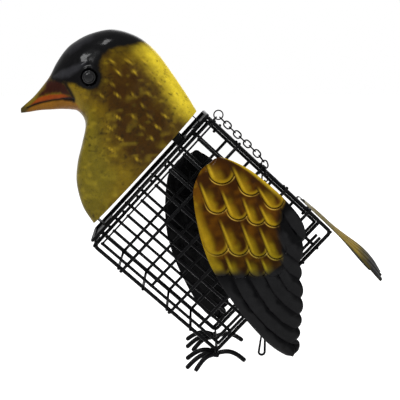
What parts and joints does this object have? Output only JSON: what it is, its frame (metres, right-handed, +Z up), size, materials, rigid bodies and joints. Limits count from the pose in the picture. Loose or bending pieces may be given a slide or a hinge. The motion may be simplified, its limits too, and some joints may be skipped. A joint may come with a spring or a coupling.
{
  "type": "suet feeder",
  "caption": "Hanging suet feeder shaped as a goldfinch: a welded wire cage body with a hinged side, sheet-metal head, wings and tail, rod feet and a hanging chain.",
  "frame": {"origin": "on the near rim wire at the neck end of the back, where the hanging chain is linked on", "axes": "+X runs from the beak to the tail, +Y from the near wing to the far wing, +Z up"},
  "size_m": [0.2838, 0.1164, 0.2664],
  "materials": {
    "black_paint": "satin black paint on steel",
    "gold_paint": "hand-painted gold, olive and black on sheet steel",
    "wing_paint": "hand-painted gold and dark grey on embossed sheet steel",
    "eye_gloss": "gloss black bead"
  },
  "bodies": {
    "feeder": {"basket": "black_paint", "near_panel": "black_paint", "neck_plate": "black_paint", "near_head_shell": "gold_paint", "far_head_shell": "gold_paint", "near_eye": "eye_gloss", "far_eye": "eye_gloss", "top_head_tab": "black_paint", "bottom_head_tab": "black_paint", "near_head_tab": "black_paint", "far_head_tab": "black_paint", "near_wing": "wing_paint", "near_wing_staple": "black_paint", "tail": "gold_paint", "tail_clip": "black_paint", "near_foot": "black_paint", "far_foot": "black_paint", "rim_link": "black_paint"},
    "door": {"door_panel": "black_paint", "far_wing": "wing_paint", "far_wing_staple": "black_paint"},
    "chain_lead": {"hang_ring": "black_paint", "lead_link_01": "black_paint", "lead_link_02": "black_paint", "lead_link_03": "black_paint", "lead_link_04": "black_paint", "lead_link_05": "black_paint", "lead_link_06": "black_paint", "lead_link_07": "black_paint", "lead_link_08": "black_paint", "lead_link_09": "black_paint"},
    "chain_drop": {"drop_link_01": "black_paint", "drop_link_02": "black_paint", "drop_link_03": "black_paint", "drop_link_04": "black_paint", "drop_link_05": "black_paint", "drop_link_06": "black_paint", "drop_link_07": "black_paint", "drop_link_08": "black_paint", "drop_link_09": "black_paint", "drop_link_10": "black_paint", "drop_link_11": "black_paint", "drop_link_12": "black_paint", "drop_link_13": "black_paint", "drop_link_14": "black_paint", "drop_link_15": "black_paint", "drop_link_16": "black_paint", "drop_link_17": "black_paint", "drop_link_18": "black_paint", "drop_link_19": "black_paint", "drop_link_20": "black_paint", "drop_link_21": "black_paint", "drop_link_22": "black_paint", "drop_link_23": "black_paint", "drop_link_24": "black_paint", "drop_link_25": "black_paint", "drop_link_26": "black_paint"},
    "hook": {"hang_hook": "black_paint"}
  },
  "joints": [
    {"name": "door_hinge", "type": "hinge", "parent": "feeder", "child": "door", "pos_m": [0.00034, 0.037, 0.00037], "axis": [0.7325, 0, -0.6807], "range_deg": [0, 100]},
    {"name": "ring_hinge", "type": "hinge", "parent": "feeder", "child": "chain_lead", "pos_m": [0.00471, 0, 0.00286], "axis": [0, -1, 0], "range_deg": [0, 80]},
    {"name": "chain_hinge", "type": "hinge", "parent": "chain_lead", "child": "chain_drop", "pos_m": [0.0397, -0.0063, -0.03033], "axis": [0, -1, 0], "range_deg": [-12, 35]},
    {"name": "hook_hinge", "type": "hinge", "parent": "chain_drop", "child": "hook", "pos_m": [0.0413, -0.0063, -0.16437], "axis": [0, -1, 0], "range_deg": [-60, 60]}
  ]
}
